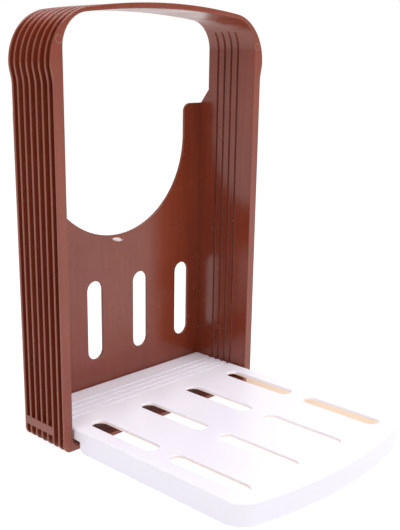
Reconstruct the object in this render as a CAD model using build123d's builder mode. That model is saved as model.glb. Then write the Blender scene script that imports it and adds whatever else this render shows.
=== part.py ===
"""Folding bread slicer guide: a finned arch frame with knife slots, and a slotted loaf tray hinged in its foot."""

import os
from math import asin, degrees, radians, sqrt, tan

from build123d import *

# Driving dimensions, in millimetres. X runs across, +Y to the rear and +Z up. The depths below are counted
# from the frame's front face, which lies at Y = front, so that the open guide is centred on the origin.

# Frame: outline of the arch, seen from the front
mouth_half = 68.7  # half the width of the opening, at the front face
flange_side = 5.5  # width of the flange and the fins beside the opening
arch_top = 226.6
flange_top = 2.9  # height of the flange over the middle of the opening
shoulder_swell = 1.5  # how far the arch stands out over its straight legs
swell_length = 10.0  # a leg swells over this length, up to where the corner starts
outer_corner = 26.0
inner_corner = 16.5
outer_crown = 390.0
inner_crown = 470.0
foot_corner = 4.0
draft = 1.2  # degrees by which the frame narrows to the rear

# Frame: depths and walls
flange_thick = 1.5
skin_thick = 1.5
fin_thick = 1.4
fin_first = 5.0  # depth of the first fin's middle
fin_pitch = 5.0
fin_count = 6
rim_gap = 4.4  # from the last fin's middle to the rear rim's
thinnest_slice = 14.0  # from the rearmost knife slot to the back panel
panel_thick = 1.5
floor_thick = 2.2
floor_corner = 4.5
floor_setback = 4.5  # the floor ends this far in front of the hinge's axis

# Frame: knife slots, bars, shoulders and the panel's openings
knife_slots = 4
knife_width = 1.5
knife_rest = 0.5  # the knife slots reach this far below the tray's top
knife_headroom = 12.1  # and end this far below the top of the arch
bar_height = 4.9
shoulder_fall = 53.9  # from the top of the arch down to the shoulders
shoulder_drop = 8.3  # the walls slope down this far from the rear rim to the shoulders
shoulder_round = 5.0
window_cheek = 13.8  # panel left on each side of the window
window_depth = 72.5  # from the shoulders down to the bottom of the window
panel_slot_width = 11.0
panel_slot_low = 27.9
panel_slot_headroom = 25.0  # from a slot up to the height of the window's bottom
panel_slot_margin = 15.1  # from the panel's side to the middle of the outer slots

# Tray: outline from above, wall sizes and openings
tray_side_gap = 0.4  # to the opening's side where that is narrowest
tray_top = 12.4
tray_reach = 124.0  # from the frame's front face to the middle of the tray's front edge
tray_front_crown = 245.0
tray_front_corner = 13.0
tray_rear_corner = 1.5
tray_wall = 1.8
tray_plate = 1.8
tray_edge_round = 1.2
tray_slot_width = 8.9
tray_slot_margin = 13.8  # from the tray's side to the middle of the outer slots
front_row_margin = 16.4  # from the front edge to the front row of slots
row_web_depth = -53.0  # depth of the middle of the web between the two rows
row_web = 11.0
rear_row_end = 0.2
kerf_depth = 1.1
kerf_bed = 3.2  # plate thickness under the kerfs
kerf_bed_margin = 4.5  # the thicker plate starts this far in front of the first kerf
sill_step = -4.2  # depth where the skirt steps up over the frame's floor
sill_step_round = 2.5
skirt_lift = 6.2  # height of the skirt's lower edge inside the frame
skirt_lift_round = 1.2

# Hinge
hinge_setback = 3.1  # from the rear rim's rear face to the axis
hinge_drop = 2.6  # from the tray's top to the axis
trunnion_radius = 2.0
trunnion_chamfer = 0.5
trunnion_end_gap = 0.4
socket_depth = 2.9  # from the opening's side, through the skin and into the bar
running_clearance = 0.05
tray_rear_gap = 0.5
heel_round = 3.0

# Depths, heights and half widths that follow from them
knife_depths = [fin_first + fin_pitch * (1.5 + i) for i in range(knife_slots)]
panel_front = knife_depths[-1] + thinnest_slice
frame_depth = panel_front + panel_thick
rim_middle = fin_first + fin_pitch * (fin_count - 1) + rim_gap
rim_rear = rim_middle + fin_thick / 2
hinge_depth = rim_rear - hinge_setback
hinge_height = tray_top - hinge_drop
floor_depth = hinge_depth - floor_setback
front = (tray_reach - frame_depth) / 2
knife_low = tray_top - knife_rest
knife_high = arch_top - knife_headroom
bar_low = knife_low - bar_height
shoulder_height = arch_top - shoulder_fall
window_low = shoulder_height - window_depth
panel_slot_high = window_low - panel_slot_headroom
slope = tan(radians(draft))
flange_half = mouth_half + flange_side
panel_half = mouth_half - panel_front * slope
window_radius = panel_half - window_cheek
tray_half = panel_half - tray_side_gap
past = 5.0  # how far a cutting shape reaches past the faces it cuts
near = 0.1  # how closely an edge is found by its place


def even_row(outermost):
    """Four middles across, evenly spaced about the centre line."""
    return [outermost * share for share in (-1, -1 / 3, 1 / 3, 1)]


def upright(depth):
    """The XZ plane at a depth behind the frame's front face."""
    return Plane.XZ.offset(-(front + depth))


def half_at(half_width, depth):
    """A half width or a height of the arch, drawn in by the draft at a depth."""
    return half_width - depth * slope


def arch_outline(half_width, top, corner, crown, foot, foot_round=0.0, swell=0.0):
    """Closed outline of an arch: leg, swell, corner and crown as tangent arcs, mirrored about the middle."""
    corner_x = half_width + swell - corner
    corner_z = top - crown + sqrt((crown - corner) ** 2 - corner_x**2)
    crown_turn = degrees(asin(corner_x / (crown - corner)))
    with BuildLine() as outline:
        if foot_round > 0:
            Line((0, foot), (half_width - foot_round, foot))
            JernArc((half_width - foot_round, foot), (1, 0), foot_round, 90)
        else:
            Line((0, foot), (half_width, foot))
        if swell > 0:
            swell_start = (half_width, corner_z - swell_length)
            swell_radius = (swell_length**2 + swell**2) / (4 * swell)
            swell_turn = degrees(asin(swell_length / 2 / swell_radius))
            Line(outline.line @ 1, swell_start)
            lean = JernArc(swell_start, (0, 1), swell_radius, -swell_turn)
            JernArc(lean @ 1, lean % 1, swell_radius, swell_turn)
        else:
            Line((half_width, foot + foot_round), (half_width, corner_z))
        bend = JernArc((half_width + swell, corner_z), (0, 1), corner, 90 - crown_turn)
        JernArc(bend @ 1, bend % 1, crown, crown_turn)
        mirror(about=Plane.YZ)
    return outline.line


def outer_outline(depth):
    """Outline of the flange, a fin or the rim at a depth."""
    return arch_outline(
        half_at(flange_half, depth),
        half_at(arch_top, depth),
        outer_corner,
        outer_crown,
        0,
        foot_corner,
        shoulder_swell,
    )


def inner_outline(depth, growth=0.0, foot=0.0, foot_round=0.0):
    """Outline of the opening at a depth, or of the skin around it."""
    return arch_outline(
        half_at(mouth_half, depth) + growth,
        half_at(arch_top - flange_top, depth) + growth,
        inner_corner + growth,
        inner_crown + growth,
        foot,
        foot_round,
    )


# ---- Frame: one moulding. The flange, fins and rim ring a thin skin, which the back panel closes.
ring_places = [(fin_first + fin_pitch * i - fin_thick / 2, fin_thick) for i in range(fin_count)]
ring_places.append((rim_middle - fin_thick / 2, fin_thick))
ring_places.insert(0, (0.0, flange_thick))

with BuildPart() as frame:
    with BuildSketch(upright(0)):
        with BuildLine():
            add(inner_outline(0, skin_thick))
        make_face()
    with BuildSketch(upright(frame_depth)):
        with BuildLine():
            add(inner_outline(frame_depth, skin_thick))
        make_face()
    loft(ruled=True)

    # the walls stop at the rim above the shoulders, and the panel stops at them
    with BuildSketch(Plane.YZ):
        with BuildLine():
            Polyline(
                (front + rim_rear, arch_top + past),
                (front + rim_rear, shoulder_height + shoulder_drop),
                (front + panel_front, shoulder_height),
                (front + frame_depth + past, shoulder_height),
                (front + frame_depth + past, arch_top + past),
                close=True,
            )
        make_face()
    extrude(amount=flange_half + past, both=True, mode=Mode.SUBTRACT)

    for ring_front, ring_thick in ring_places:
        with BuildSketch(upright(ring_front)):
            with BuildLine():
                add(outer_outline(ring_front))
            make_face()
        extrude(amount=-ring_thick)

    # bars outside the feet join the fins behind the hinge
    bar_front = fin_first + fin_pitch - fin_thick / 2
    with BuildSketch(Plane.XY.offset(bar_low)):
        with BuildLine():
            Polyline(
                (mouth_half, front + bar_front),
                (half_at(flange_half, bar_front), front + bar_front),
                (half_at(flange_half, rim_rear), front + rim_rear),
                (mouth_half, front + rim_rear),
                close=True,
            )
        make_face()
        mirror(about=Plane.YZ)
    extrude(amount=knife_low - bar_low)

    # the opening, over a floor with rounded corners
    with BuildSketch(upright(0)):
        with BuildLine():
            add(inner_outline(0, foot=floor_thick, foot_round=floor_corner))
        make_face()
    with BuildSketch(upright(panel_front)):
        with BuildLine():
            add(inner_outline(panel_front, foot=floor_thick, foot_round=floor_corner))
        make_face()
    loft(ruled=True, mode=Mode.SUBTRACT)

    # the floor stops short of the panel, where the tray's heel swings down
    with BuildSketch(Plane.XY.offset(-past)):
        with BuildLine():
            Polyline(
                (half_at(mouth_half, floor_depth), front + floor_depth),
                (half_at(mouth_half, panel_front), front + panel_front),
                (-half_at(mouth_half, panel_front), front + panel_front),
                (-half_at(mouth_half, floor_depth), front + floor_depth),
                close=True,
            )
        make_face()
    extrude(amount=past + floor_thick + floor_corner, mode=Mode.SUBTRACT)

    # U-shaped window and four upright slots through the panel
    window_centre = window_low + window_radius
    with BuildSketch(upright(panel_front - past)):
        with Locations((0, window_centre)):
            Circle(window_radius)
        with Locations((0, (window_centre + shoulder_height + past) / 2)):
            Rectangle(2 * window_radius, shoulder_height + past - window_centre)
        for side in even_row(panel_half - panel_slot_margin):
            with Locations((side, (panel_slot_low + panel_slot_high) / 2)):
                SlotOverall(panel_slot_high - panel_slot_low, panel_slot_width, rotation=90)
    extrude(amount=-(2 * past + panel_thick), mode=Mode.SUBTRACT)
    window_tops = (
        frame.edges()
        .filter_by(Axis.Y)
        .filter_by(lambda edge: abs(edge.center().Z - shoulder_height) < near)
        .filter_by(lambda edge: abs(abs(edge.center().X) - window_radius) < near)
    )
    fillet(window_tops, shoulder_round)

    # knife slots through both walls, one in each gap between two fins
    with BuildSketch(Plane.YZ):
        for depth in knife_depths:
            with Locations((front + depth, (knife_low + knife_high) / 2)):
                SlotOverall(knife_high - knife_low, knife_width, rotation=90)
    extrude(amount=flange_half + past, both=True, mode=Mode.SUBTRACT)

    # blind hinge sockets
    with BuildSketch(Plane.YZ):
        with Locations((front + hinge_depth, hinge_height)):
            Circle(trunnion_radius + running_clearance)
    extrude(amount=half_at(mouth_half, hinge_depth) + socket_depth, both=True, mode=Mode.SUBTRACT)

frame.part.label = "frame"

# ---- Tray: one moulding, a plate with a skirt all round and a trunnion on each side.
tray_rear = front + panel_front - tray_rear_gap
tray_front = front - tray_reach
crown_drop = tray_front_crown - sqrt(tray_front_crown**2 - tray_half**2)


def tray_plan(rear, rear_corner, inset=0.0):
    """Plan of the tray up to a rear edge: straight sides, crowned front, rounded corners, drawn in by an inset."""
    with BuildSketch() as plan:
        with BuildLine():
            sides = Polyline(
                (-tray_half, tray_front + crown_drop),
                (-tray_half, rear),
                (tray_half, rear),
                (tray_half, tray_front + crown_drop),
            )
            ThreePointArc(sides @ 0, (0, tray_front), sides @ 1)
        make_face()
        fillet(plan.vertices().group_by(Axis.Y)[0], tray_front_corner)
        fillet(plan.vertices().group_by(Axis.Y)[-1], rear_corner)
        if inset > 0:
            offset(amount=-inset)
    return plan.sketch


with BuildPart() as tray:
    with BuildSketch():
        add(tray_plan(tray_rear, tray_rear_corner))
    extrude(amount=tray_top)
    fillet(tray.faces().sort_by(Axis.Z)[-1].edges(), tray_edge_round)

    # the skirt steps up over the frame's floor, and its heel is cut round
    with BuildSketch(Plane.YZ) as under:
        with BuildLine():
            Polyline(
                (front + sill_step, -past),
                (front + sill_step, skirt_lift),
                (tray_rear + past, skirt_lift),
                (tray_rear + past, -past),
                close=True,
            )
        make_face()
        fillet(under.vertices().group_by(Axis.Y)[0].sort_by(Axis.Z)[-1], skirt_lift_round)
    extrude(amount=tray_half + past, both=True, mode=Mode.SUBTRACT)
    across = tray.edges().filter_by(Axis.X)
    step_edge = across.filter_by(lambda edge: abs(edge.center().Y - front - sill_step) < near).sort_by(Axis.Z)[0]
    fillet(step_edge, sill_step_round)
    across = tray.edges().filter_by(Axis.X)
    heel_edge = across.filter_by(lambda edge: abs(edge.center().Y - tray_rear) < near).sort_by(Axis.Z)[0]
    fillet(heel_edge, heel_round)

    # hollow underside, with a thicker plate under the kerfs
    with BuildSketch():
        add(tray_plan(front + knife_depths[0] - kerf_bed_margin, tray_rear_corner + tray_wall, tray_wall))
    extrude(amount=tray_top - tray_plate, mode=Mode.SUBTRACT)
    with BuildSketch():
        add(tray_plan(tray_rear, tray_rear_corner + tray_wall, tray_wall))
    extrude(amount=tray_top - kerf_bed, mode=Mode.SUBTRACT)

    # two rows of four slots through the plate
    front_row = (front_row_margin - tray_reach, row_web_depth - row_web / 2)
    rear_row = (row_web_depth + row_web / 2, rear_row_end)
    with BuildSketch(Plane.XY.offset(tray_top - kerf_bed - past)):
        for row_front, row_rear in (front_row, rear_row):
            for side in even_row(tray_half - tray_slot_margin):
                with Locations((side, front + (row_front + row_rear) / 2)):
                    SlotOverall(row_rear - row_front, tray_slot_width, rotation=90)
    extrude(amount=kerf_bed + 2 * past, mode=Mode.SUBTRACT)

    # kerfs across the plate, one in line with each pair of knife slots
    with BuildSketch(Plane.YZ):
        for depth in knife_depths:
            with Locations((front + depth, tray_top)):
                Rectangle(knife_width, 2 * kerf_depth)
    extrude(amount=tray_half + past, both=True, mode=Mode.SUBTRACT)

    # trunnions that snap into the frame's sockets
    with BuildSketch(Plane.YZ.offset(tray_half - tray_wall / 2)):
        with Locations((front + hinge_depth, hinge_height)):
            Circle(trunnion_radius)
    trunnion_end = half_at(mouth_half, hinge_depth) + socket_depth - trunnion_end_gap
    extrude(amount=trunnion_end - tray_half + tray_wall / 2)
    chamfer(tray.faces().sort_by(Axis.X)[-1].edges(), trunnion_chamfer)
    mirror(about=Plane.YZ)

tray.part.label = "tray"

os.makedirs("parts", exist_ok=True)
export_step(frame.part, "parts/frame.step")
export_step(tray.part, "parts/tray.step")
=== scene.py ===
"""Folding bread slicer guide: a finned brown arch with knife slots, and a white tray hinged in its foot."""

import bpy
import numpy as np
from mathutils import Matrix, Vector
from mathutils.geometry import tessellate_polygon


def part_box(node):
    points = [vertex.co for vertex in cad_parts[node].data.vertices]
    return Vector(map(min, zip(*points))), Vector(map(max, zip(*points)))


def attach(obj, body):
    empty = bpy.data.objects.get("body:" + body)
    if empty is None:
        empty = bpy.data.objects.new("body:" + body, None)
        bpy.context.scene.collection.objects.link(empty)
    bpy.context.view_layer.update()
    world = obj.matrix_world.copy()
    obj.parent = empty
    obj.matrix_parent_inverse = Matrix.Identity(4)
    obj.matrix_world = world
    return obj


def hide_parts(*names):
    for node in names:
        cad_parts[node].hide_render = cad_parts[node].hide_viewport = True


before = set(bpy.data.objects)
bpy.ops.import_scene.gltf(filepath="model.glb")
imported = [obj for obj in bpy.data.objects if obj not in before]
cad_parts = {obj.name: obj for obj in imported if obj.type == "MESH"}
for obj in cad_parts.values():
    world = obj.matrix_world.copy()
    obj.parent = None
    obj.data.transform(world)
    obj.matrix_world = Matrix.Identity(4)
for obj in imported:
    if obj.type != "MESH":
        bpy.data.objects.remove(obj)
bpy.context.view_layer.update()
mm = 0.001


# ---- Flange, fins and rim.
# The frame is one injection moulding of brown plastic. Its flange, fins and rim are flat walls in the shape
# of one arch, drawn in a little to the rear so that they leave the mould. The flange and five fins go right
# round the floor. The last fin and the rim stand on two feet, because the floor ends in front of them.
arch_low, arch_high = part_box("frame")
face_y = arch_low.y
draft = np.tan(np.radians(1.2))
floor_top = 2.2 * mm
mouth_half = 68.7 * mm
mouth_top = arch_high.z - 2.9 * mm
mouth_corner = 16.5 * mm
mouth_crown = 470 * mm
mouth_foot_corner = 4.5 * mm
ring_half = 74.2 * mm
ring_top = arch_high.z
ring_corner = 26 * mm
ring_crown = 390 * mm
ring_foot_corner = 4 * mm
shoulder_swell = 1.5 * mm
flange_thick = 1.5 * mm
fin_first = 5 * mm
fin_pitch = 5 * mm
fin_count = 6
fin_thick = 1.4 * mm
fin_round = 0.35 * mm
rim_middle = 34.4 * mm
rim_rear = rim_middle + fin_thick / 2
floor_end = 27.5 * mm

# an arch's stretches in turn: floor, foot corner, leg, shoulder corner and crown
FLOOR, FOOT, LEG, CORNER, CROWN, END = range(6)


def arch(u, half, top, corner, crown, foot, foot_corner, swell=0.0, swell_length=10 * mm):
    """Point of an arch at u, which runs from 0 at the middle of its floor to 5 at the middle of its crown,
    and is mirrored for -u. Whole numbers part the stretches: a line, a quarter circle, a line that may
    swell out under the corner by a smooth step, 3 t^2 - 2 t^3, and two arcs that are tangent to each
    other."""
    corner_x = half + swell - corner
    corner_z = top - crown + np.sqrt((crown - corner) ** 2 - corner_x**2)
    turn = np.arcsin(corner_x / (crown - corner))
    stretch = np.clip(np.floor(np.abs(u)), FLOOR, CROWN)
    t = np.abs(u) - stretch
    leg_z = foot + foot_corner + t * (corner_z - foot - foot_corner)
    rise = np.clip((leg_z - corner_z) / swell_length + 1, 0, 1)
    bend = t * (np.pi / 2 - turn)
    lean = (1 - t) * turn
    on = [stretch == part for part in range(END)]
    x = np.select(on, [
        t * (half - foot_corner),
        half - foot_corner + foot_corner * np.sin(t * np.pi / 2),
        half + swell * rise**2 * (3 - 2 * rise),
        corner_x + corner * np.cos(bend),
        crown * np.sin(lean),
    ])
    z = np.select(on, [
        foot + 0 * t,
        foot + foot_corner * (1 - np.cos(t * np.pi / 2)),
        leg_z,
        corner_z + corner * np.sin(bend),
        top - crown + crown * np.cos(lean),
    ])
    return np.stack([np.sign(u) * x, z], axis=-1)


def ring_outline(u, depth):
    """The outer outline of the flange, a fin or the rim."""
    inward = depth * draft
    return arch(u, ring_half - inward, ring_top - inward, ring_corner, ring_crown, 0, ring_foot_corner,
                swell=shoulder_swell)


def mouth_outline(u, depth, growth=0.0, foot=floor_top, foot_corner=mouth_foot_corner):
    """The outline of the opening, or one that runs outside it at a distance."""
    inward = depth * draft - growth
    return arch(u, mouth_half - inward, mouth_top - inward, mouth_corner + growth, mouth_crown + growth,
                foot, foot_corner)


def both_sides(half_turn):
    """The whole way round an arch, anticlockwise from the front, from the values for its right half."""
    return np.concatenate([-half_turn[:0:-1], half_turn])


def along(*stretches):
    """Values of u over stretches given as (start, end, steps), with no value twice."""
    return np.unique(np.concatenate([np.linspace(a, b, n + 1) for a, b, n in stretches]))


def rim_of(outline, profile):
    """Carries a profile of (inset, height) pairs round a closed outline: each point moves towards the
    material, along the bisector of its two edges, and by the same distance from both."""
    ahead = np.roll(outline, -1, axis=0) - outline
    ahead /= np.linalg.norm(ahead, axis=1, keepdims=True)
    behind = np.roll(ahead, 1, axis=0)
    turned = np.stack([-(ahead + behind)[:, 1], (ahead + behind)[:, 0]], axis=1)
    inward = turned / (1 + np.sum(ahead * behind, axis=1, keepdims=True))
    inset, height = np.broadcast_arrays(*np.moveaxis(np.asarray(profile), -1, 0))
    inset, height = (np.broadcast_to(a, (len(outline), a.shape[-1])) for a in (inset, height))
    flat = outline[:, None, :] + inward[:, None, :] * inset[..., None]
    return np.concatenate([flat, height[..., None]], axis=-1)


def rounded(thick, radius, steps=4):
    """Profile of a wall's edge: a quarter circle, the straight side and another quarter circle."""
    a = np.linspace(0, np.pi / 2, steps + 1)
    inset = radius * (1 - np.sin(a))
    drop = radius * (1 - np.cos(a))
    return np.stack([
        np.concatenate([inset, inset[::-1]]),
        np.concatenate([thick - drop, drop[::-1]]),
    ], axis=1)


def held(profile, width=0.35 * mm):
    """Adds a narrow flat border at both ends of a profile, so that the round edges don't tilt the shading
    of the flat faces."""
    profile = np.asarray(profile)
    aside = (width, 0)
    return np.concatenate([profile[..., :1, :] + aside, profile, profile[..., -1:, :] + aside], axis=-2)


def quads(rows, columns, offset=0, close_rows=True, close_columns=False):
    """Faces of a grid of points, closed on itself where asked."""
    index = offset + np.arange(rows * columns).reshape(rows, columns)
    if close_rows:
        index = np.concatenate([index, index[:1]])
    if close_columns:
        index = np.concatenate([index, index[:, :1]], axis=1)
    return np.stack([index[:-1, :-1], index[:-1, 1:], index[1:, 1:], index[1:, :-1]], axis=-1).reshape(-1, 4)


def cap(points, loops, facing):
    """Triangles over a flat face with holes, turned to face up (1) or down (-1)."""
    flat = [[Vector(p) for p in points[loop, :2]] for loop in loops]
    faces = np.concatenate(loops)[np.array(tessellate_polygon(flat))]
    a, b, c = (points[faces[:, i], :2] for i in range(3))
    turn = (b - a)[:, 0] * (c - a)[:, 1] - (b - a)[:, 1] * (c - a)[:, 0]
    return np.where((turn * facing > 0)[:, None], faces, faces[:, ::-1])


def plate(outlines, profile, half_width=None):
    """Points and faces of a plate: a rim round each outline, the first anticlockwise and holes clockwise,
    with one flat cap over the rims' first loops and one under their last. half_width gives the most that
    the plate may reach to either side at each height."""
    rims = [rim_of(outline, held(profile)) for outline in outlines]
    columns = rims[0].shape[1]
    starts = np.cumsum([0] + [rim[..., 0].size for rim in rims])
    points = np.concatenate([rim.reshape(-1, 3) for rim in rims])
    if half_width:
        points[:, 0] = np.clip(points[:, 0], -half_width(points[:, 2]), half_width(points[:, 2]))
    sides = [quads(len(rim), columns, start) for rim, start in zip(rims, starts)]
    first = [start + columns * np.arange(len(rim)) for rim, start in zip(rims, starts)]
    last = [loop + columns - 1 for loop in first]
    return points, [np.concatenate(sides), cap(points, first, 1), cap(points, last, -1)]


def upright(points, rear_y):
    """Stands a plate up: its second axis becomes height, and its face looks to the front."""
    return np.stack([points[:, 0], rear_y - points[:, 2], points[:, 1]], axis=1)


# steps of u: closest where the leg swells out and in the corner
swell_u = CORNER - 0.08
shoulder_turn = along((LEG, swell_u, 18), (swell_u, CORNER, 14), (CORNER, CROWN, 28), (CROWN, END, 24))
ring_turn = both_sides(np.union1d(along((FLOOR, FOOT, 6), (FOOT, LEG, 8)), shoulder_turn))[1:]


def ring(depth, thick):
    """A plate between the ring's outline and the opening's, floor included."""
    hole = mouth_outline(ring_turn, depth)[::-1]
    points, faces = plate([ring_outline(ring_turn, depth), hole], rounded(thick, fin_round))
    return upright(points, face_y + depth + thick), faces


def two_footed(depth, thick):
    """A plate that follows the ring's outline from foot to foot, and the opening's back down to the
    table."""
    right_side = np.union1d(along((FOOT, LEG, 8)), shoulder_turn)
    over = np.concatenate([right_side, -right_side[-2::-1]])
    under = np.concatenate([-shoulder_turn, shoulder_turn[-2::-1]])
    inside = mouth_outline(under, depth, foot=0, foot_corner=0)
    outline = np.concatenate([ring_outline(over, depth), inside])
    points, faces = plate([outline], rounded(thick, fin_round))
    return upright(points, face_y + depth + thick), faces


frame_moulding = [ring(0, flange_thick)]
for i in range(fin_count):
    fin_depth = fin_first + fin_pitch * i - fin_thick / 2
    fin = ring if fin_depth < floor_end else two_footed
    frame_moulding.append(fin(fin_depth, fin_thick))
frame_moulding.append(two_footed(rim_middle - fin_thick / 2, fin_thick))


# ---- Skin.
# The thin wall round the opening, with its floor, is of the same brown moulding. The mould's core shapes
# it, so it narrows to the rear. Four knife slots in each side lie between the fins and run up into the
# corner. Behind the rim the walls slope down to the shoulders of the back panel.
skin = 1.5 * mm
knife_width = 1.5 * mm
knife_places = fin_first + fin_pitch * (np.arange(4) + 1.5)
knife_low = 11.9 * mm
knife_high = 214.5 * mm
panel_front = knife_places[-1] + 14 * mm
panel_thick = 1.5 * mm
shoulder_z = 172.7 * mm
slope_top = shoulder_z + 8.3 * mm
skin_start = 1.0 * mm  # hidden in the flange
skin_end = panel_front + 1.0 * mm  # hidden in the panel
rim_hold = rim_rear - 0.5 * mm  # hidden in the rim
boss_front = 28.5 * mm  # the wall is thicker from here to the rim, round the hinge
rear_corner = 2.8 * mm  # the walls' outer rear corners are round
table_gap = 0.03 * mm  # under the floor, between the feet of the fins
leg_low, leg_high = (mouth_outline(np.array([u]), 0)[0, 1] for u in (LEG, CORNER))
corner_steps = mouth_outline(np.linspace(CORNER, CROWN, 200), 0)[:, 1]


def u_at(z):
    """Where on the right side of the opening a height is reached."""
    on_leg = LEG + (z - leg_low) / (leg_high - leg_low)
    return np.where(z < leg_high, on_leg, np.interp(z, corner_steps, np.linspace(CORNER, CROWN, 200)))


def walled(outside, inside, keep):
    """Closed wall between two grids of points whose rows run round in a loop: the kept cells on both faces,
    and strips from one face to the other where a kept cell meets one that is cut away."""
    rows, columns = keep.shape
    count = rows * (columns + 1)
    index = np.arange(count).reshape(rows, columns + 1)
    after = np.roll(index, -1, axis=0)
    cells = np.stack([index[:, :-1], index[:, 1:], after[:, 1:], after[:, :-1]], axis=-1)[keep]
    padded = np.pad(keep, ((0, 0), (1, 1))).astype(int)
    step = padded[:, 1:] - padded[:, :-1]
    side = np.stack([index, index + count, after + count, after], axis=-1)
    turn = keep.astype(int) - np.roll(keep, 1, axis=0)
    end = np.stack([index[:, :-1], index[:, 1:], index[:, 1:] + count, index[:, :-1] + count], axis=-1)
    strips = [side[step < 0], side[step > 0][:, ::-1], end[turn < 0], end[turn > 0][:, ::-1]]
    points = np.concatenate([outside.reshape(-1, 3), inside.reshape(-1, 3)])
    return points, [np.concatenate([cells, cells[:, ::-1] + count, *strips])]


# grid lines: across the depth, with five to a slot, and up the wall, with one at every edge
across_slot = knife_width / 2 * np.sin(np.radians([-90, -45, 0, 45, 90]))
slot_lines = (knife_places[:, None] + across_slot).ravel()
corner_depth = panel_front + panel_thick - rear_corner
depths = np.union1d(slot_lines, np.concatenate([
    [skin_start, fin_first, boss_front, rim_hold], np.linspace(corner_depth, skin_end, 6)]))
slot_foot, slot_head = u_at(knife_low + knife_width / 2), u_at(knife_high - knife_width / 2)
shoulder_u, slope_u = u_at(shoulder_z), u_at(slope_top)
up_wall = along(
    (FLOOR, FOOT, 8), (FOOT, LEG, 6), (LEG, slot_foot, 2), (slot_foot, shoulder_u, 30),
    (shoulder_u, slope_u, 3), (slope_u, CORNER, 6), (CORNER, slot_head, 12), (slot_head, CROWN, 12),
    (CROWN, END, 24))
grid_u, grid_depth = np.meshgrid(up_wall, depths, indexing="ij")

# the slots' round ends: their rows bulge by a half circle inside each slot, as steps of u
head_rate = 0.8 / np.ptp(corner_steps)
reach = np.abs(depths[:, None] - knife_places).min(axis=1)
bulge = np.sqrt(np.maximum((knife_width / 2) ** 2 - reach**2, 0))
foot_row, head_row = np.searchsorted(up_wall, [slot_foot - 1e-9, slot_head - 1e-9])
grid_u[foot_row] -= bulge / (leg_high - leg_low)
grid_u[head_row] += bulge * head_rate

# the rear border: hidden in the panel up to the shoulders, and above them on a slope forward to the rim
slope_depth = np.interp(up_wall, [shoulder_u, slope_u], [panel_front, rim_rear])
border = np.where(up_wall < shoulder_u, skin_end, slope_depth)[:, None]
behind_rim = np.maximum(grid_depth - rim_hold, 0) / (skin_end - rim_hold)
grid_depth = np.minimum(grid_depth, rim_hold) + behind_rim * (border - rim_hold)

middle_u = (up_wall[:-1] + up_wall[1:])[:, None] / 2
middle_depth = (depths[:-1] + depths[1:])[None, :] / 2
in_slot = (np.abs(middle_depth[..., None] - knife_places).min(axis=-1) < knife_width / 2)
keep = ~(in_slot & (middle_u > slot_foot) & (middle_u < slot_head))
keep &= (middle_u > LEG) | (middle_depth < floor_end)
keep &= (middle_u < slope_u) | (middle_depth < rim_hold)
in_boss = (middle_depth > boss_front) & (middle_depth < rim_hold)
keep &= ~((middle_u > LEG) & (middle_u < slot_foot) & in_boss)

loop_u = np.concatenate([-grid_u[:0:-1], grid_u[:-1]])
loop_depth = np.concatenate([grid_depth[:0:-1], grid_depth[:-1]])
loop_keep = np.concatenate([keep[::-1], keep])
inner = mouth_outline(loop_u, loop_depth)
outer = mouth_outline(loop_u, loop_depth, growth=skin, foot=table_gap, foot_corner=leg_low - table_gap)


def wall_edge(depth):
    """How far out the wall's outer face lies: along its draft, and at the rear round a quarter circle."""
    past = np.clip(depth - corner_depth, 0, rear_corner)
    return mouth_half + skin - depth * draft - rear_corner + np.sqrt(rear_corner**2 - past**2)


def at_depth(flat, depth):
    """Outline points (across, up) set at their depths behind the frame's face, and kept inside the wall's
    outer face."""
    edge = wall_edge(depth)
    return np.stack([np.clip(flat[..., 0], -edge, edge), face_y + depth, flat[..., 1]], axis=-1)


frame_moulding.append(walled(at_depth(outer, loop_depth), at_depth(inner, loop_depth), loop_keep))


# ---- Back panel.
# A flat wall of the same brown moulding closes the frame's rear up to the shoulders. It has a U-shaped
# window, for the fingers that push the loaf, and four upright slots.
panel_rear = panel_front + panel_thick
panel_tuck = 0.02 * mm  # its sides stay this far inside the wall's outer faces
panel_half = mouth_half - panel_rear * draft + skin - panel_tuck
panel_round = 0.4 * mm
window_radius = 54.0 * mm
window_low = 100.2 * mm
window_centre = window_low + window_radius
shoulder_round = 5 * mm
panel_slot_places = 52.7 * mm * np.array([-1, -1 / 3, 1 / 3, 1])
panel_slot_size = (11 * mm, 27.9 * mm, 75.2 * mm)


def arc(centre, radius, start, end, steps):
    """Points of a circle's arc between two angles in degrees."""
    a = np.radians(np.linspace(start, end, steps + 1))[:, None]
    return np.array(centre) + radius * np.concatenate([np.cos(a), np.sin(a)], axis=1)


def stadium(centre, width, low, high, steps=12):
    """A slot's outline, clockwise, so that a plate takes it for a hole."""
    r = width / 2
    return np.concatenate([
        arc((centre, high - r), r, 180, 0, steps),
        arc((centre, low + r), r, 0, -180, steps),
    ])


shoulder = (window_radius + shoulder_round, shoulder_z - shoulder_round)
panel_outline = np.concatenate([
    [(-panel_half, 0), (panel_half, 0), (panel_half, shoulder_z)],
    arc(shoulder, shoulder_round, 90, 180, 8),
    arc((0, window_centre), window_radius, 0, -180, 72),
    arc((-shoulder[0], shoulder[1]), shoulder_round, 0, 90, 8),
    [(-panel_half, shoulder_z)],
])
panel_holes = [stadium(x, *panel_slot_size) for x in panel_slot_places]
points, faces = plate([panel_outline, *panel_holes], rounded(panel_thick, panel_round),
                      half_width=lambda height: wall_edge(panel_rear - height))
frame_moulding.append((upright(points, face_y + panel_rear), faces))


# ---- Foot bars, hinge bosses and heels.
# Moulded with the frame, a bar outside each foot joins the fins. Inside its rear part the wall is thickened
# to a boss, with a round socket for the tray's trunnion. Behind the floor's end the walls stand on heels.
hinge_depth = 32 * mm
hinge_height = 9.8 * mm
socket_depth = 2.9 * mm
socket_radius = 2.05 * mm


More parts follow.
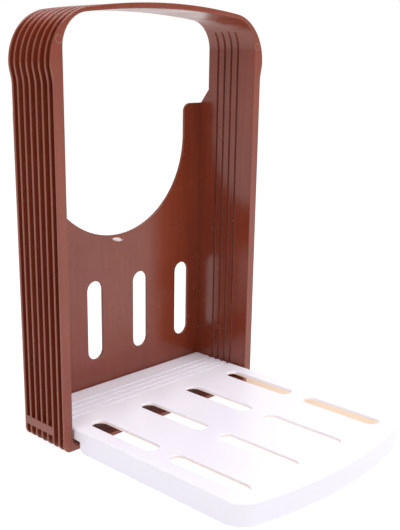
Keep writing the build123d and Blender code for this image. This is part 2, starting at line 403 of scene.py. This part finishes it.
def side_block(stations, low, high, inner_x, outer_x, radius, side, holes=()):
    """A block along one wall, over a row of depths and between two heights, sheared to follow the wall's
    draft. Its points within the skin's thickness of its inner side stay inside the wall's outer face."""
    stations = np.array(stations)
    below = np.stack([stations, np.full(len(stations), low)], axis=1)
    above = np.stack([stations[::-1], np.full(len(stations), high)], axis=1)
    points, faces = plate([np.concatenate([below, above]), *holes], rounded(outer_x - inner_x, radius))
    x = inner_x - points[:, 0] * draft + points[:, 2]
    x = np.where(points[:, 2] < skin, np.minimum(x, wall_edge(points[:, 0])), x)
    placed = np.stack([side * x, face_y + points[:, 0], points[:, 1]], axis=1)
    return placed, faces if side > 0 else [face[:, ::-1] for face in faces]


bar_front = fin_first + fin_pitch  # hidden in the second fin
bar_low = knife_low - 4.9 * mm
bar_face = ring_half + 0.01 * mm  # just outside the fins' edges
bar_round = 0.3 * mm
bar_overlap = 0.5 * mm
boss_top = knife_low + knife_width / 2
boss_face = mouth_half + socket_depth
boss_round = 0.01 * mm
heel_front = floor_end - 1 * mm  # hidden in the floor
heel_top = leg_low + 0.5 * mm
heel_tuck = 0.02 * mm
heel_round = 0.2 * mm
socket = arc((hinge_depth, hinge_height), socket_radius, 0, -345, 23)
for side in (-1, 1):
    frame_moulding += [
        side_block((bar_front, boss_front), bar_low, knife_low, mouth_half + skin / 2, bar_face,
                   bar_round, side),
        side_block((boss_front - bar_overlap, rim_hold), bar_low, knife_low, boss_face, bar_face,
                   bar_round, side),
        side_block((boss_front, rim_hold), leg_low, boss_top, mouth_half, boss_face,
                   boss_round, side, holes=[socket]),
        side_block((heel_front, *depths[depths >= corner_depth]), 0, heel_top, mouth_half + heel_tuck,
                   mouth_half + skin - heel_tuck, heel_round, side),
    ]


# ---- Marks of the moulding.
# The mould's ejector pins leave fine raised rings on the brown flange and panel. The gate, where the
# plastic ran in, is snapped off under the window and leaves a torn stub, pale as torn plastic is and
# lighter still with a painted highlight.
pin_ring_section = 0.13 * mm  # the radius of its section
pin_ring_sunk = 0.3  # how far the section's middle lies in the plastic, as a share of that radius


def pin_ring(x, z, radius, face):
    """A thin raised ring on an upright face: a torus, radius + section cos b from its middle and section
    sin b out of the face, set back so that about two thirds of it is sunk."""
    a, b = np.meshgrid(*(np.linspace(0, 2 * np.pi, n, endpoint=False) for n in (40, 8)), indexing="ij")
    across = radius + pin_ring_section * np.cos(b)
    y = face + pin_ring_sunk * pin_ring_section - pin_ring_section * np.sin(b)
    points = np.stack([x + across * np.cos(a), y, z + across * np.sin(a)], axis=-1)
    return points.reshape(-1, 3), [quads(40, 8, close_columns=True)[:, ::-1]]


panel_y = face_y + panel_front
marks_start = len(frame_moulding)
frame_moulding += [
    pin_ring(-70.8 * mm, 208.0 * mm, 1.9 * mm, face_y),
    pin_ring(70.9 * mm, 205.8 * mm, 1.9 * mm, face_y),
    pin_ring(0.2 * mm, 91.3 * mm, 2.4 * mm, panel_y),
]

# the stub: a mound over an oblong, slightly slanted patch with a torn edge. out runs from its middle to its
# edge, and the mound falls off as 1 - out^4.
gate_x = -0.1 * mm
gate_z = 97.3 * mm
gate_half = 4.2 * mm
gate_half_height = 1.3 * mm
gate_waist = 0.4
gate_slant = 0.9 * mm
gate_rise = 0.9 * mm
gate_sunk = 0.1 * mm
turns = np.linspace(0, 2 * np.pi, 48, endpoint=False)
turn, out = np.meshgrid(turns, np.linspace(0.02, 1, 9), indexing="ij")
torn = 0.08 * np.sin(5 * turn + 1) + 0.06 * np.sin(9 * turn)
gate = np.stack([
    gate_x + gate_half * out * np.cos(turn) * (1 + torn * out),
    panel_y + gate_sunk - gate_rise * (1 - out**4) * (1 + 2 * torn * out),
    gate_z + out * (gate_half_height * np.sin(turn) * (1 - gate_waist * np.cos(turn) ** 2)
                    - gate_slant * np.cos(turn)),
], axis=-1).reshape(-1, 3)
gate_middle = np.arange(0, 48 * 9, 9)
gate_back = np.arange(8, 48 * 9, 9)
frame_moulding.append((gate, [quads(48, 9), gate_middle[None, :], gate_back[None, ::-1]]))
marks_pale_and_painted_highlight = [0.12, 0.12, 0.06, 0.8]  # from the plastic's own colour (0) to torn plastic's pale colour with a painted highlight (1)


# ---- The finished frame.
# Its walls and marks make one moulding of glossy chocolate-brown plastic. The colour is a little uneven, in
# clouds and in streaks up the walls where the plastic flowed. The gate's torn stub is pale, partly as torn
# plastic is and partly as a painted highlight.
def joined(parts):
    """Points and faces of several shells as one mesh."""
    starts = np.cumsum([0] + [len(points) for points, _ in parts])
    return np.concatenate([points for points, _ in parts]), [
        face + start for (_, faces), start in zip(parts, starts) for face in faces]


def solid(name, points, faces, marks=()):
    """One mesh object from arrays of points and of three- and four-sided faces, with named values at its
    points. Edges turned by more than 40 degrees stay sharp."""
    corners = np.concatenate([part.ravel() for part in faces])
    sizes = np.concatenate([np.full(len(part), part.shape[1]) for part in faces])
    used, corners = np.unique(corners, return_inverse=True)
    mesh = bpy.data.meshes.new(name)
    mesh.vertices.add(len(used))
    mesh.vertices.foreach_set("co", points[used].ravel())
    mesh.loops.add(len(corners))
    mesh.loops.foreach_set("vertex_index", corners.ravel())
    mesh.polygons.add(len(sizes))
    mesh.polygons.foreach_set("loop_start", np.cumsum(sizes) - sizes)
    for label, values in dict(marks).items():
        attribute = mesh.attributes.new(label, "FLOAT", "POINT")
        attribute.data.foreach_set("value", values[used].astype(np.float32))
    mesh.update(calc_edges=True)
    mesh.validate()
    mesh.shade_smooth()
    mesh.set_sharp_from_angle(angle=np.radians(40))
    piece = bpy.data.objects.new(name, mesh)
    bpy.context.scene.collection.objects.link(piece)
    piece.modifiers.new("flat faces stay flat", "WEIGHTED_NORMAL").keep_sharp = True
    return piece


def wire(tree, kind, inputs=(), **settings):
    """Adds a shader node, with its settings, and with numbers or other nodes' outputs put in its inputs."""
    node = tree.nodes.new(kind)
    for name, value in settings.items():
        setattr(node, name, value)
    for name, value in dict(inputs).items():
        if isinstance(value, bpy.types.NodeSocket):
            tree.links.new(value, node.inputs[name])
        else:
            node.inputs[name].default_value = value
    return node


def moulded(name, deep, pale, rough, speck, wave, mark_and_painted_light, shine):
    """Coloured plastic as it leaves the mould: two tones in clouds and upright flow streaks, a gloss that
    comes and goes, fine grain and a slow waviness, a few specks of dust, and another colour where a point's
    "mark" is 1. On the frame that colour is torn plastic's, made lighter as a painted highlight; on the tray
    it is a painted glow of light through the walls."""
    material = bpy.data.materials.new(name)
    material.use_nodes = True
    tree = material.node_tree
    shader = tree.nodes["Principled BSDF"]
    place = wire(tree, "ShaderNodeTexCoord").outputs["Object"]

    def noise(scale, detail=3.0, at=place):
        field = wire(tree, "ShaderNodeTexNoise", {"Vector": at, "Scale": scale, "Detail": detail})
        return field.outputs["Fac"]

    def remap(value, low, high, start=0.35, end=0.65):
        ramp = wire(tree, "ShaderNodeMapRange", {
            "Value": value, "From Min": start, "From Max": end, "To Min": low, "To Max": high})
        return ramp.outputs["Result"]

    def mixed(share, first, second):
        colours = {0: share, 6: first, 7: (*second, 1)}
        return wire(tree, "ShaderNodeMix", colours, data_type="RGBA").outputs[2]

    upright_grain = wire(tree, "ShaderNodeMapping", {"Vector": place, "Scale": (1.0, 1.0, 0.035)})
    streaks = remap(noise(420.0, at=upright_grain.outputs["Vector"]), 0.0, 0.5)
    clouds = remap(noise(22.0), 0.0, 0.5)
    tone = wire(tree, "ShaderNodeMath", {0: streaks, 1: clouds}, operation="ADD").outputs[0]
    cells = wire(tree, "ShaderNodeTexVoronoi", {"Vector": place, "Scale": 60.0}).outputs["Distance"]
    dust = remap(cells, 0.65, 0.0, 0.01, 0.02)
    mark = wire(tree, "ShaderNodeAttribute", attribute_name="mark").outputs["Fac"]
    colour = mixed(mark, mixed(dust, mixed(tone, (*deep, 1), pale), speck), mark_and_painted_light)
    tree.links.new(colour, shader.inputs["Base Color"])
    tree.links.new(remap(noise(55.0), *rough), shader.inputs["Roughness"])
    shader.inputs["Specular IOR Level"].default_value = shine
    waves = wire(tree, "ShaderNodeBump", {"Height": noise(28.0, 1.0), "Strength": 1.0, "Distance": wave})
    grain = wire(tree, "ShaderNodeBump", {
        "Height": noise(2600.0), "Strength": 0.25, "Distance": 0.015 * mm,
        "Normal": waves.outputs["Normal"]})
    tree.links.new(grain.outputs["Normal"], shader.inputs["Normal"])
    return material


# the brown's second colour is torn plastic's pale colour, made lighter as a painted highlight
brown = moulded("brown_plastic", deep=(0.19, 0.028, 0.0095), pale=(0.235, 0.042, 0.016), rough=(0.2, 0.28),
                speck=(0.42, 0.3, 0.26), wave=0.04 * mm, mark_and_painted_light=(0.95, 0.86, 0.82), shine=0.7)
pieces_pale_and_painted_highlight = [0] * marks_start + marks_pale_and_painted_highlight
marks = np.concatenate([np.full(len(points), pale) for (points, _), pale in zip(frame_moulding, pieces_pale_and_painted_highlight)])
piece = solid("frame_moulding", *joined(frame_moulding), marks={"mark": marks})
piece.data.materials.append(brown)
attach(piece, "frame")
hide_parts("frame")


# ---- Tray.
# One moulding of satin white plastic, a plate with a skirt all round it, which steps up over the frame's
# floor. Four kerfs in line with the knife slots let the blade cut the bottom crust, and two rows of slots
# drop the crumbs. It turns on two round trunnions that snap into the frame's sockets.
tray_low, tray_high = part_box("tray")
tray_half = 67.43 * mm
tray_top = tray_high.z
tray_rear = tray_high.y
tray_front = tray_low.y
tray_crown = 245 * mm
tray_corner = 13 * mm
heel_corner = 1.5 * mm
top_round = 1.4 * mm
foot_round = 0.4 * mm
tray_wall = 1.8 * mm
tray_plate = 1.8 * mm
hollow_round = 0.6 * mm
kerf_depth = 1.1 * mm
kerf_half = 0.95 * mm  # half the width of a kerf at its lips
kerf_bottom = 0.55 * mm  # and at its flat bottom
kerf_notch = 1.1  # at the tray's edge the kerfs are deeper by this share
kerf_flare = 0.5 * mm  # and wider by this much to each side
kerf_lines = face_y + knife_places
step_y = face_y - 4.2 * mm
step_height = 6.2 * mm
step_foot_round = 2.5 * mm
step_top_round = 1.2 * mm
step_lean = 0.02 * mm  # so that the step isn't quite upright, and has one height at each place
tray_slot_width = 8.9 * mm
tray_slot_round = 0.45 * mm
tray_slot_inset = 13.8 * mm  # from the tray's side to the middle of the outer slots
tray_slot_places = (tray_half - tray_slot_inset) * np.array([-1, -1 / 3, 1 / 3, 1])
tray_rows = [(face_y - 107.6 * mm, face_y - 58.5 * mm), (face_y - 47.5 * mm, face_y + 0.2 * mm)]

# the skirt's lower edge: on the table, round up the step, and level over the floor
step_turn = np.linspace(0, np.pi / 2, 7)
step_line_y = np.concatenate([
    step_y - step_foot_round * (1 - np.sin(step_turn)),
    step_y + step_lean + step_top_round * (1 - np.cos(step_turn))])
step_line_z = np.concatenate([
    step_foot_round * (1 - np.cos(step_turn)),
    step_height - step_top_round * (1 - np.sin(step_turn))])

# the tray's outline: a wide arc in front, round corners, and sides with a point for every kerf and step
crown_centre = tray_front + tray_crown
corner_x = tray_half - tray_corner
corner_y = crown_centre - np.sqrt((tray_crown - tray_corner) ** 2 - corner_x**2)
crown_turn = np.degrees(np.arcsin(corner_x / (tray_crown - tray_corner)))
kerf_offsets = np.linspace(-kerf_half - kerf_flare, kerf_half + kerf_flare, 17)
kerf_start = kerf_lines[0] + kerf_offsets[0]
side_y = np.unique(np.concatenate([
    np.linspace(corner_y, step_y - step_foot_round, 16)[1:], step_line_y,
    (kerf_lines[:, None] + kerf_offsets).ravel(),
    np.linspace(kerf_lines[-1] + kerf_offsets[-1], tray_rear - heel_corner, 4)[:-1]]))
right_side = np.concatenate([
    arc((0, crown_centre), tray_crown, -90, -90 + crown_turn, 16),
    arc((corner_x, corner_y), tray_corner, -90 + crown_turn, 0, 16)[1:],
    np.stack([np.full(len(side_y), tray_half), side_y], axis=1),
    arc((tray_half - heel_corner, tray_rear - heel_corner), heel_corner, 0, 90, 5),
])
tray_outline = np.concatenate([right_side, right_side[:0:-1] * (-1, 1)])


def kerf_dip(y, spread):
    """Depth of the kerfs at each place, for each amount that they are wider by: with t running from 0 at a
    lip to 1 at the flat bottom, the depth times t^2 (3 - 2 t)."""
    distance = np.abs(y[:, None] - kerf_lines).min(axis=1)
    t = np.clip((kerf_half + spread - distance[:, None]) / (kerf_half - kerf_bottom), 0, 1)
    return kerf_depth * t**2 * (3 - 2 * t)


def skirt_profile(y):
    """Section of the tray's edge at each place: over the top edge, down the skirt and up inside it, with a
    quarter circle at each turn. The kerfs open out into notches over the top edge."""
    a = np.linspace(0, np.pi / 2, 7)
    b = np.linspace(0, np.pi / 2, 4)
    inset = np.concatenate([
        top_round * (1 - np.sin(a)), foot_round * (1 - np.cos(b)), tray_wall - foot_round * (1 - np.sin(b)),
        tray_wall + hollow_round * (1 - np.cos(b))])
    down = np.concatenate([top_round * (1 - np.cos(a)), np.zeros(12)])
    opening = np.sin(a)
    up = np.concatenate([
        np.zeros(7), foot_round * (1 - np.sin(b)), foot_round * (1 - np.cos(b)),
        -hollow_round * (1 - np.sin(b))])
    top = tray_top - kerf_dip(y, kerf_flare * opening) * (1 + kerf_notch * opening)
    low = np.interp(y, step_line_y, step_line_z)[:, None]
    under = np.full_like(low, tray_top - tray_plate)
    base = np.concatenate([top, np.repeat(low, 8, axis=1), np.repeat(under, 4, axis=1)], axis=1)
    return np.stack(np.broadcast_arrays(inset, base - down + up), axis=-1)


rims = [rim_of(tray_outline, held(skirt_profile(tray_outline[:, 1])))]
slot_profile = held(rounded(tray_plate, tray_slot_round) + (0, tray_top - tray_plate))
rims += [
    rim_of(stadium(x, tray_slot_width, *row), slot_profile) for row in tray_rows for x in tray_slot_places]
starts = np.cumsum([0] + [rim[..., 0].size for rim in rims])
points = np.concatenate([rim.reshape(-1, 3) for rim in rims])
faces = [quads(len(rim), rim.shape[1], start) for rim, start in zip(rims, starts)]
first = [start + rim.shape[1] * np.arange(len(rim)) for rim, start in zip(rims, starts)]
last = [loop + rim.shape[1] - 1 for loop, rim in zip(first, rims)]

# the top: flat up to the first kerf, and behind it strips that run from the right edge to the left one
edge = first[0]
mirror_of = np.roll(edge[::-1], 1)
on_side = right_side[:, 0] > tray_half - 1e-6
kerf_row = int(np.argmin(np.where(on_side, np.abs(right_side[:, 1] - kerf_start), np.inf)))
flat_loop = np.concatenate([mirror_of[kerf_row:0:-1], edge[:kerf_row + 1]])
rung = np.arange(kerf_row, len(right_side) - 1)
faces += [
    cap(points, [flat_loop, *first[1:]], 1),
    np.stack([mirror_of[rung], edge[rung], edge[rung + 1], mirror_of[rung + 1]], axis=1),
    cap(points, last, -1),
]
tray_moulding = [(points, faces)]

# the bed: the plate is thicker under the kerfs
bed_half = tray_half - tray_wall - 0.2 * mm
bed_front = face_y + 8 * mm
bed_rear = tray_rear - 2 * mm
bed_under = tray_top - 3.2 * mm
bed_thick = 1.5 * mm
bed_round = 0.3 * mm
bed = np.array([(-bed_half, bed_front), (bed_half, bed_front), (bed_half, bed_rear), (-bed_half, bed_rear)])
points, faces = plate([bed], rounded(bed_thick, bed_round))
tray_moulding.append((points + (0, 0, bed_under), faces))

# trunnions: short round pins with chamfered ends
trunnion_radius = 2 * mm
trunnion_root = tray_half - 0.5 * mm
trunnion_gap = 0.4 * mm  # short of the boss's outer face
trunnion_chamfer = 0.5 * mm
trunnion_long = mouth_half - hinge_depth * draft + socket_depth - trunnion_gap - trunnion_root
trunnion = arc((face_y + hinge_depth, hinge_height), trunnion_radius, 0, 345, 23)
trunnion_profile = [(trunnion_chamfer, trunnion_long), (0, trunnion_long - trunnion_chamfer), (0, 0)]
points, faces = plate([trunnion], trunnion_profile)
for side in (-1, 1):
    placed = np.stack([side * (trunnion_root + points[:, 2]), points[:, 0], points[:, 1]], axis=1)
    tray_moulding.append((placed, faces if side > 0 else [face[:, ::-1] for face in faces]))

# the white's second colour is a peach painted glow that stands in for light through the walls
white = moulded("white_plastic", deep=(0.83, 0.8, 0.88), pale=(0.84, 0.81, 0.89), rough=(0.28, 0.42),
                speck=(0.72, 0.68, 0.64), wave=0.04 * mm, mark_and_painted_light=(0.97, 0.77, 0.58), shine=0.5)

# Painted light: a warm peach colour, painted on the skirt's inner face and the slots' lower edges, stands in
# for light that has come through the walls. One value for each column of their sections.
skirt_painted_light = np.concatenate([np.zeros(13), np.ones(4), [0.8, 0.4, 0, 0]])
slot_painted_light = np.concatenate([np.zeros(6), np.full(4, 0.6), [0, 0]])
painted_warm_light = [np.tile(skirt_painted_light, len(rims[0]))] + [np.tile(slot_painted_light, len(rim)) for rim in rims[1:]]
painted_warm_light.append(np.zeros(sum(len(points) for points, _ in tray_moulding[1:])))
marks = np.concatenate(painted_warm_light)
piece = solid("tray_moulding", *joined(tray_moulding), marks={"mark": marks})
piece.data.materials.append(white)
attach(piece, "tray")
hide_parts("tray")


# ---- Table.
# The photo shows plain white under the guide and behind it. Here it stands on white card, which glows a
# little so that it meets the white room without an edge.
table_half = 40.0
table_drop = 0.1 * mm
table_glow = 0.87
corners = [(-table_half, -table_half, 0), (table_half, -table_half, 0), (table_half, table_half, 0),
           (-table_half, table_half, 0)]
table = bpy.data.meshes.new("table")
table.from_pydata(corners, [], [(0, 1, 2, 3)])
table_top = bpy.data.objects.new("table", table)
bpy.context.scene.collection.objects.link(table_top)
table_top.location.z = -table_drop
card = bpy.data.materials.new("white_table")
card.use_nodes = True
shader = card.node_tree.nodes["Principled BSDF"]
place = wire(card.node_tree, "ShaderNodeTexCoord").outputs["Object"]
mottle = wire(card.node_tree, "ShaderNodeTexNoise", {"Vector": place, "Scale": 3.0}).outputs["Fac"]
greys = {0: mottle, 6: (0.27, 0.27, 0.27, 1), 7: (0.3, 0.3, 0.3, 1)}
tint = wire(card.node_tree, "ShaderNodeMix", greys, data_type="RGBA").outputs[2]
card.node_tree.links.new(tint, shader.inputs["Base Color"])
shader.inputs["Roughness"].default_value = 1.0
shader.inputs["Specular IOR Level"].default_value = 0.0
shader.inputs["Emission Color"].default_value = (1, 1, 1, 1)
shader.inputs["Emission Strength"].default_value = table_glow
table.materials.append(card)


# ---- Room and softboxes.
# The light of a product shot: a white room, brighter behind the guide as the camera sees it, and three large
# square softboxes to the left, in front and above, turned to the guide's middle.
room_ahead = (0.73, 0.68, 0.0)
world = bpy.data.worlds.new("white_room")
world.use_nodes = True
tree = world.node_tree
way = wire(tree, "ShaderNodeTexCoord").outputs["Generated"]
ahead = wire(tree, "ShaderNodeVectorMath", {0: way, 1: room_ahead}, operation="DOT_PRODUCT")
glow = wire(tree, "ShaderNodeMapRange", {
    "Value": ahead.outputs["Value"], "From Min": 0.0, "From Max": 0.8, "To Min": 0.3, "To Max": 1.0})
tree.links.new(glow.outputs["Result"], tree.nodes["Background"].inputs["Strength"])
tree.nodes["Background"].inputs["Color"].default_value = (1, 1, 1, 1)
bpy.context.scene.world = world
bpy.context.scene.view_settings.view_transform = "Standard"

softbox_side = 0.7
softbox_aim = Vector((0, 0, 0.08))
softboxes = [
    ("left_softbox", (-1.0, -0.12, 0.6), 3.8),
    ("front_softbox", (0.4, -0.85, 0.95), 6.0),
    ("top_softbox", (0.0, -0.25, 1.2), 7.9),
]
for name, spot, watts in softboxes:
    lamp = bpy.data.lights.new(name, "AREA")
    lamp.shape = "RECTANGLE"
    lamp.size, lamp.size_y = softbox_side, softbox_side
    lamp.energy = watts
    softbox = bpy.data.objects.new(name, lamp)
    bpy.context.scene.collection.objects.link(softbox)
    softbox.location = spot
    softbox.rotation_euler = (softbox_aim - softbox.location).to_track_quat("-Z", "Y").to_euler()


# ---- Camera.
# It stands in front of the guide, to its left and nearly as high as its top, where the photo's edges put it.
# The lens and the shift are worked out from lengths in the photo's pixels.
photo_height = 530
focal_pixels = 887.29
rise_pixels = 40.9
sensor = 36
camera_place = Vector((-0.33404, -0.33994 + face_y, 0.20659))
cam = bpy.data.cameras.new("camera")
cam.lens = focal_pixels * sensor / photo_height
cam.sensor_width = sensor
cam.shift_y = rise_pixels / photo_height
camera = bpy.data.objects.new("camera", cam)
bpy.context.scene.collection.objects.link(camera)
forward = Vector((0.69805, 0.65795, -0.28253)).normalized()
right = Vector((0.68933, -0.72426, 0.01647)).normalized()
upward = right.cross(forward)
turned = Matrix((right, upward, -forward)).transposed()
camera.matrix_world = Matrix.Translation(camera_place) @ turned.to_4x4()
bpy.context.scene.camera = camera
